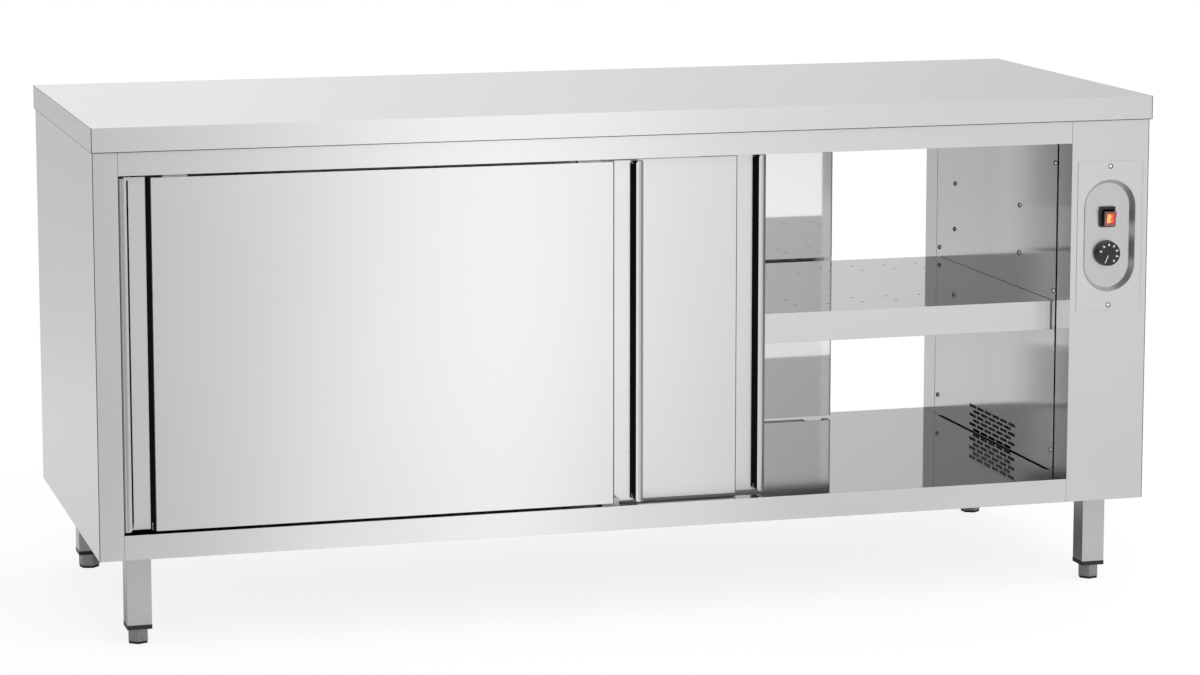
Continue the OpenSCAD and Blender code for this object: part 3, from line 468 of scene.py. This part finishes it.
def foot_material(name, pad_top):
    """Turned and plated metal above the pad, black rubber below it."""
    mat, tree, shader = new_material(name)
    above = beyond(tree, "Z", pad_top)
    cast = noise(tree, (400, 400, 400), detail=4.0)
    metal = grey_mix(tree, cast, (0.25, 0.25, 0.245), (0.36, 0.36, 0.35))
    tree.links.new(colour_mix(tree, above, (0.006, 0.006, 0.006), metal), shader.inputs["Base Color"])
    tree.links.new(above, shader.inputs["Metallic"])
    tree.links.new(remap(tree, above, 0.75, 0.42, 0.0, 1.0), shader.inputs["Roughness"])
    bump(tree, shader, cast, 0.15, 0.0002)
    return mat


def rocker_material(name):
    """Red cap with a pale rim painted as a highlight and a lamp behind its middle, on black sides."""
    mat, tree, shader = new_material(name)
    x, y, z = parts_of(tree, "Object")
    wide = size_of(tree, math_node(tree, "SUBTRACT", x, SWITCH_X))
    high = size_of(tree, math_node(tree, "SUBTRACT", z, SWITCH_Z))
    # How far a point lies outside the lit window
    outside = either(tree, math_node(tree, "SUBTRACT", wide, LAMP_W/2), math_node(tree, "SUBTRACT", high, LAMP_H/2))
    lit = falling(tree, outside, (-LAMP_BLUR, LAMP_BLUR))
    rim = rising(tree, outside, (HIGHLIGHT_RIM_START, HIGHLIGHT_RIM_END))
    flame = grey_mix(tree, rising(tree, x, (SWITCH_X - LAMP_W/2, SWITCH_X + LAMP_W/2)),
                     (1.0, 0.42, 0.08), (0.80, 0.06, 0.025))
    # The pale rim is a painted highlight where the cap's edges catch light.
    cap = colour_mix(tree, rim, (0.30, 0.045, 0.03), (0.30, 0.13, 0.13))
    cap = colour_mix(tree, lit, cap, flame)
    front = falling(tree, y, (CAP_BACK_Y, CAP_BACK_Y + CAP_BACK_BLUR))
    tree.links.new(colour_mix(tree, front, (0.008, 0.008, 0.008), cap), shader.inputs["Base Color"])
    tree.links.new(flame, shader.inputs["Emission Color"])
    glow = math_node(tree, "MULTIPLY", both(tree, lit, front), LAMP_GLOW)
    tree.links.new(glow, shader.inputs["Emission Strength"])
    shader.inputs["Roughness"].default_value = 0.3
    bump(tree, shader, noise(tree, (150, 150, 150)), 0.05, 0.0002)
    return mat


def painted_reflection_screw_material(name):
    """Polished domes with a painted reflection: a bright crown and a dark rim in the colour, by how each point faces
    the view.
    """
    mat, tree, shader = new_material(name)
    slope = add(tree, "ShaderNodeLayerWeight", Blend=0.5).outputs["Facing"]
    # The crown's painted highlight and the rim's painted dark reflection follow the view.
    crown = falling(tree, slope, (0.12, 0.32))
    tree.links.new(colour_mix(tree, crown, (0.02, 0.02, 0.02), (0.95, 0.95, 0.94)), shader.inputs["Base Color"])
    tree.links.new(remap(tree, crown, 1.0, 0.35, 0.0, 1.0), shader.inputs["Metallic"])
    worn = noise(tree, (900, 900, 900), detail=3.0)
    tree.links.new(remap(tree, worn, 0.16, 0.30), shader.inputs["Roughness"])
    bump(tree, shader, worn, 0.05, 0.0001)
    return mat


def paint(name, colour):
    mat, tree, shader = new_material(name)
    grain = noise(tree, (3000, 3000, 3000))
    tree.links.new(grey_mix(tree, grain, tuple(0.94*c for c in colour), colour), shader.inputs["Base Color"])
    shader.inputs["Roughness"].default_value = 0.5
    return mat


def grey(level):
    return (level, level, level)


BRUSHED = dict(tint=(0.63, 0.63, 0.625), rough=0.25, brushed=0.7)
WALLED = dict(tint=grey(0.60), rough=0.13, spread=0.005, depth=0.0, brushed=0.95, along=UPRIGHT_GRAIN)
LINED = dict(tint=grey(0.78), rough=0.035, spread=0.005, depth=0.005)
# Black non-metal that paints shade where the doors' channel walls are.
PAINTED_SHADE_BLACK = dict(tint=grey(0.012), rough=0.5, cloud=0.003, metal=0.0)

SATIN = steel("satin_steel", BRUSHED)
SATIN_UP = steel("satin_steel_upright", dict(tint=(0.51, 0.51, 0.505), rough=0.30, grain=(900, 900, 6)))
# The worktop's folded skirt end, upper end edges and corners are painted dark as painted shade.
TOP = steel("worktop_steel", dict(tint=(0.64, 0.64, 0.635), rough=0.27, brushed=0.7,
                                  painted_shading=(is_worktop_painted_shade, grey(0.10))))
# Doors: a painted shade line at the bend where the panel begins, and the channel walls painted black as painted
# shade.
DOOR = steel("door_steel", dict(BRUSHED, painted_shading=(is_door_bend_painted_shade, grey(0.10)), roll=rolled_lip),
             (is_door_inside, LINED), (is_shaded_channel_wall, PAINTED_SHADE_BLACK))
# Side panels: a painted shade line at the bend to the jamb.
# The side returns' front half is painted paler, as painted light.
SIDE = steel("side_steel", dict(BRUSHED, painted_shading=(is_side_corner_painted_shade, grey(0.12))),
             (is_return, dict(WALLED, painted_shading=(is_front_half_painted_light, grey(0.90)))))
# The control plate's recess floor is painted darker, as painted shade.
PLATE = steel("plate_steel", dict(BRUSHED, painted_shading=(is_recess_floor_painted_shade, (0.56, 0.56, 0.555)), edge=0.002),
              (is_recess_wall, dict(tint=grey(0.66), rough=0.36, edge=0.002)))
BRIGHT = steel("bright_steel", dict(tint=grey(0.60), rough=0.10))
# Inner walls painted paler towards the front edge, as painted light.
WALL = steel("wall_steel", dict(WALLED, painted_shading=(painted_light_towards_front, grey(0.92))))
# The door liners' front half gets a duller half-metal finish in place of the mirror, so that it shows as a lit grey:
# painted light.
LINER = steel("liner_steel", LINED, (is_front_half_painted_light, dict(tint=grey(0.72), rough=0.35, metal=0.5)))
# The shelf's faces under its top are painted pale and dull, as painted light.
SHELF = steel("shelf_steel", dict(tint=grey(0.37), rough=0.06),
              (is_shelf_inside_painted_light, dict(tint=grey(0.88), rough=0.5)), (is_shelf_front, BRUSHED))
MIRROR = steel("floor_steel", dict(tint=grey(0.33), rough=0.05, spread=0.005, depth=0.005, brushed=0.6))
PLAIN = steel("plain_steel", dict(tint=grey(0.42), rough=0.4, spread=0.04))
ZINC = steel("zinc_plate", dict(tint=(0.50, 0.51, 0.50), rough=0.32, spread=0.05, grain=(60, 60, 60)))
FIN = steel("heater_steel", dict(tint=(0.72, 0.71, 0.69), rough=0.25, spread=0.03))
SCREW = painted_reflection_screw_material("screw_steel")
BLACK = plastic("black_plastic", (0.012, 0.012, 0.013), 0.45)
NYLON = plastic("nylon", (0.72, 0.71, 0.68), 0.4)
CERAMIC = plastic("ceramic", (0.70, 0.68, 0.62), 0.2)
FOOT = foot_material("foot_metal", 0.004)
ROCKER = rocker_material("red_rocker")
WHITE_INK = paint("white_ink", (0.85, 0.85, 0.84))

SLOT_LOOKS = {
    "satin_steel": SATIN, "polished_steel": BRIGHT, "plain_steel": PLAIN, "screw_steel": SCREW,
    "foot_metal": FOOT, "zinc_plate": ZINC, "heater_steel": FIN, "black_plastic": BLACK,
    "red_rocker": ROCKER, "ceramic": CERAMIC, "nylon": NYLON,
}
NODE_LOOKS = {"worktop": TOP, "floor_pan": MIRROR, "middle_shelf": SHELF, "control_plate": PLATE}
for side in ("left", "right"):
    NODE_LOOKS[side + "_inner_wall"] = WALL
    NODE_LOOKS[side + "_side_panel"] = SIDE
    for end in ("front_", "rear_"):
        NODE_LOOKS[end + side + "_leg"] = SATIN_UP
        NODE_LOOKS[end + side + "_door_skin"] = DOOR
        NODE_LOOKS[end + side + "_door_liner"] = LINER


def dress_nodes():
    """Every solid takes its finish from its slot, or from its own entry."""
    slots = {part["node"]: part["material_slot"] for part in frame["record"]["subparts"]}
    for name, obj in frame["nodes"].items():
        look = NODE_LOOKS.get(name, SLOT_LOOKS[slots[name]])
        obj.data.materials.clear()
        obj.data.materials.append(look)


# ---- Small pieces ----

def new_object(name, verts, faces, look):
    mesh = bpy.data.meshes.new(name)
    mesh.from_pydata(verts, [], faces)
    mesh.materials.append(look)
    obj = bpy.data.objects.new(name, mesh)
    bpy.context.scene.collection.objects.link(obj)
    return obj


def plate_piece(name, outline, centre, turn, thickness, body, lean=0.0, hole=()):
    """A thin white mark in a plane that faces the front, from (right, up) points turned clockwise about its centre.
    The plane leans by lean metres of depth for each metre up, and hole is an inner outline of as many points."""
    c, s = math.cos(turn), math.sin(turn)
    n = len(outline)
    verts = []
    for depth in (0.0, thickness):
        for u, v in (*outline, *hole):
            x, z = centre[0] + c*u + s*v, centre[2] - s*u + c*v
            verts.append((x, centre[1] + depth + lean*(z - centre[2]), z))
    after = len(verts)//2
    ring = [(i, (i + 1) % n) for i in range(n)]
    if hole:
        faces = [(i, j, j + n, i + n) for i, j in ring]
        faces += [(j + after, i + after, i + n + after, j + n + after) for i, j in ring]
        faces += [(i + n, j + n, j + n + after, i + n + after) for i, j in ring]
    else:
        faces = [tuple(range(n)), tuple(range(2*n - 1, n - 1, -1))]
    faces += [(i, i + after, j + after, j) for i, j in ring]
    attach(new_object(name, verts, faces, WHITE_INK), body)


def dress_knob():
    """Seven wedges round the knob's face and a line in its groove."""
    lo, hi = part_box("thermostat_knob")
    x, z = (lo.x + hi.x)/2, (lo.z + hi.z)/2
    y = lo.y - MARK_PROUD
    for i in range(DIAL_MARKS):
        turn = DIAL_START + i*DIAL_STEP
        spot = (x + DIAL_R*math.sin(turn), y, z + DIAL_R*math.cos(turn))
        plate_piece(f"dial_mark_{i + 1}", WEDGE, spot, turn, 2*MARK_PROUD, "dial")
    plate_piece("dial_pointer", POINTER, (x, y, z), POINTER_TURN, POINTER_T, "dial")


def dress_rocker():
    """The two signs of a power switch, a ring on the upper half of the cap and a bar on the lower half."""
    turns = [math.tau*i/RING_SIDES for i in range(RING_SIDES)]
    ring, hole = ([(r*math.sin(turn), r*math.cos(turn)) for turn in turns] for r in RING_R)
    x, y = SWITCH_X + SIGN_SHIFT, SWITCH_LO.y - MARK_PROUD
    plate_piece("rocker_ring", ring, (x, y + RING_BACK, SWITCH_Z + RING_UP), 0.0, 2*MARK_PROUD, "rocker",
                lean=CAP_LEAN_UP, hole=hole)
    plate_piece("rocker_bar", BAR, (x, y + BAR_BACK, SWITCH_Z - BAR_DOWN), 0.0, 2*MARK_PROUD, "rocker",
                lean=CAP_LEAN_LOW)


def add_shelf_ends():
    """The last millimetres of the shelf at both walls, in the section of the shelf itself."""
    y, low, top = SHELF_HI.y, SHELF_LO.z, SHELF_HI.z
    t, lip = SHEET_T, SHEET_T + SHELF_LIP
    section = [(-y, low), (-y, top), (y, top), (y, low), (y - lip, low), (y - lip, low + t), (y - t, low + t),
               (y - t, top - t), (t - y, top - t), (t - y, low + t), (lip - y, low + t), (lip - y, low)]
    n = len(section)
    for name, x0, x1 in (("shelf_end_left", SHELF_LO.x - SHELF_END, SHELF_LO.x),
                         ("shelf_end_right", SHELF_HI.x, SHELF_HI.x + SHELF_END)):
        verts = [(x, y, z) for x in (x0, x1) for y, z in section]
        faces = [tuple(range(n)), tuple(range(2*n - 1, n - 1, -1))]
        faces += [(i, i + n, (i + 1) % n + n, (i + 1) % n) for i in range(n)]
        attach(new_object(name, verts, faces, SHELF), "cabinet")


def add_rear_seams():
    """A strip behind the joint between each inner wall and its panel's rear return."""
    for side, inward in (("left", 1), ("right", -1)):
        lo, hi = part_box(side + "_inner_wall")
        face = hi.x if inward > 0 else lo.x
        back = face - inward*SEAM_BACK
        xs = sorted((back, back - inward*SHEET_T))
        verts = [(x, y, z) for x in xs for y in (hi.y - SEAM_LAP, hi.y + SEAM_REACH) for z in (lo.z, hi.z)]
        faces = [(0, 1, 3, 2), (4, 6, 7, 5), (0, 4, 5, 1), (2, 3, 7, 6), (0, 2, 6, 4), (1, 5, 7, 3)]
        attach(new_object("rear_seam_" + side, verts, faces, WALL), "cabinet")


dress_nodes()
dress_knob()
dress_rocker()
add_shelf_ends()
add_rear_seams()


# ---- Floor, light and camera ----

def floor_level(tree):
    """The floor's brightness as the metal mirrors it: a sweep in front, another behind, and a painted shadow under
    the object.
    """
    x, y = parts_of(tree, "Object")[:2]
    slant = math_node(tree, "ADD", x, math_node(tree, "MULTIPLY", y, SWEEP_SLANT))
    front = ramp(tree, rising(tree, slant, SWEEP_RANGE), SWEEP_LEVELS)
    front = colour_mix(tree, ramp(tree, rising(tree, y, NEAR_RANGE), NEAR_LEVELS), (0, 0, 0), front)
    side = math_node(tree, "SUBTRACT", x, math_node(tree, "MULTIPLY", y, DIM_SLANT))
    front = colour_mix(tree, rising(tree, side, DIM_SIDE), DIM_COLOUR, front)
    behind = ramp(tree, rising(tree, y, BEHIND_RANGE), BEHIND_LEVELS)
    level = colour_mix(tree, rising(tree, y, FRONT_TO_BACK), front, behind)
    under = both(tree, falling(tree, size_of(tree, x), UNDER_X), falling(tree, size_of(tree, y), UNDER_Y))
    return colour_mix(tree, math_node(tree, "MULTIPLY", under, UNDER_PAINTED_SHADOW), level, (0.0, 0.0, 0.0))


def stage_material():
    """White to the eye with a soft shadow under the object, and a softly lit sweep as the metal mirrors it."""
    mat, tree, shader = new_material("stage_white")
    shader.inputs["Base Color"].default_value = FLOOR_COLOUR
    shader.inputs["Roughness"].default_value = FLOOR_ROUGH
    pale = add(tree, "ShaderNodeBsdfDiffuse", Color=SHADOW_COLOUR)
    white = add(tree, "ShaderNodeEmission", Color=WHITE, Strength=SHOWN_GLOW)
    shown = add_shaders(tree, pale.outputs[0], white.outputs[0])
    level = floor_level(tree)
    lit = add(tree, "ShaderNodeBsdfDiffuse", Color=level)
    sweep = add(tree, "ShaderNodeEmission", Color=level, Strength=SWEEP_GLOW)
    mirrored = add_shaders(tree, lit.outputs[0], sweep.outputs[0])
    rays = tree.nodes.new("ShaderNodeLightPath")
    unseen = mix_shaders(tree, rays.outputs["Is Glossy Ray"], shader.outputs[0], mirrored)
    surface = mix_shaders(tree, rays.outputs["Is Camera Ray"], unseen, shown)
    tree.links.new(surface, tree.nodes["Material Output"].inputs["Surface"])
    return mat


def build_floor():
    half = FLOOR_HALF
    corners = [(-half, -half, 0), (half, -half, 0), (half, half, 0), (-half, half, 0)]
    new_object("stage_floor", corners, [(0, 1, 2, 3)], stage_material())


def build_world():
    """White to the eye, and a soft room as the metal mirrors it."""
    world = bpy.data.worlds.new("studio")
    bpy.context.scene.world = world
    world.use_nodes = True
    tree = world.node_tree
    tree.nodes.clear()
    x, y = parts_of(tree, "Generated")[:2]
    across = rising(tree, x, (-1.0, 1.0))
    level = colour_mix(tree, rising(tree, y, FRONT_TO_BACK),
                       ramp(tree, across, ROOM_FRONT), ramp(tree, across, ROOM_BEHIND))
    room = add(tree, "ShaderNodeBackground", Color=level, Strength=1.0/STORED_LEVEL)
    shown = add(tree, "ShaderNodeBackground", Color=WHITE, Strength=1.0)
    rays = tree.nodes.new("ShaderNodeLightPath")
    surface = mix_shaders(tree, rays.outputs["Is Camera Ray"], room.outputs[0], shown.outputs[0])
    tree.links.new(surface, tree.nodes.new("ShaderNodeOutputWorld").inputs["Surface"])


def build_light():
    data = bpy.data.lights.new("key", "AREA")
    data.shape = "RECTANGLE"
    data.size, data.size_y = KEY_SIZE
    data.energy = KEY_POWER
    lamp = bpy.data.objects.new("key", data)
    lamp.location = KEY_PLACE
    lamp.rotation_euler = (Vector(KEY_TARGET) - Vector(KEY_PLACE)).to_track_quat("-Z", "Y").to_euler()
    bpy.context.scene.collection.objects.link(lamp)


def build_camera():
    data = bpy.data.cameras.new("camera")
    data.sensor_width = SENSOR_W
    data.lens = CAM_LENS
    data.shift_y = CAM_SHIFT_Y
    data.clip_end = CAM_REACH
    camera = bpy.data.objects.new("camera", data)
    camera.location = CAM_PLACE
    level = math.cos(CAM_PITCH)
    look = Vector((math.sin(CAM_YAW)*level, math.cos(CAM_YAW)*level, -math.sin(CAM_PITCH)))
    camera.rotation_euler = look.to_track_quat("-Z", "Y").to_euler()
    bpy.context.scene.collection.objects.link(camera)
    bpy.context.scene.camera = camera


build_floor()
build_world()
build_light()
build_camera()
bpy.context.scene.view_settings.view_transform = "Standard"
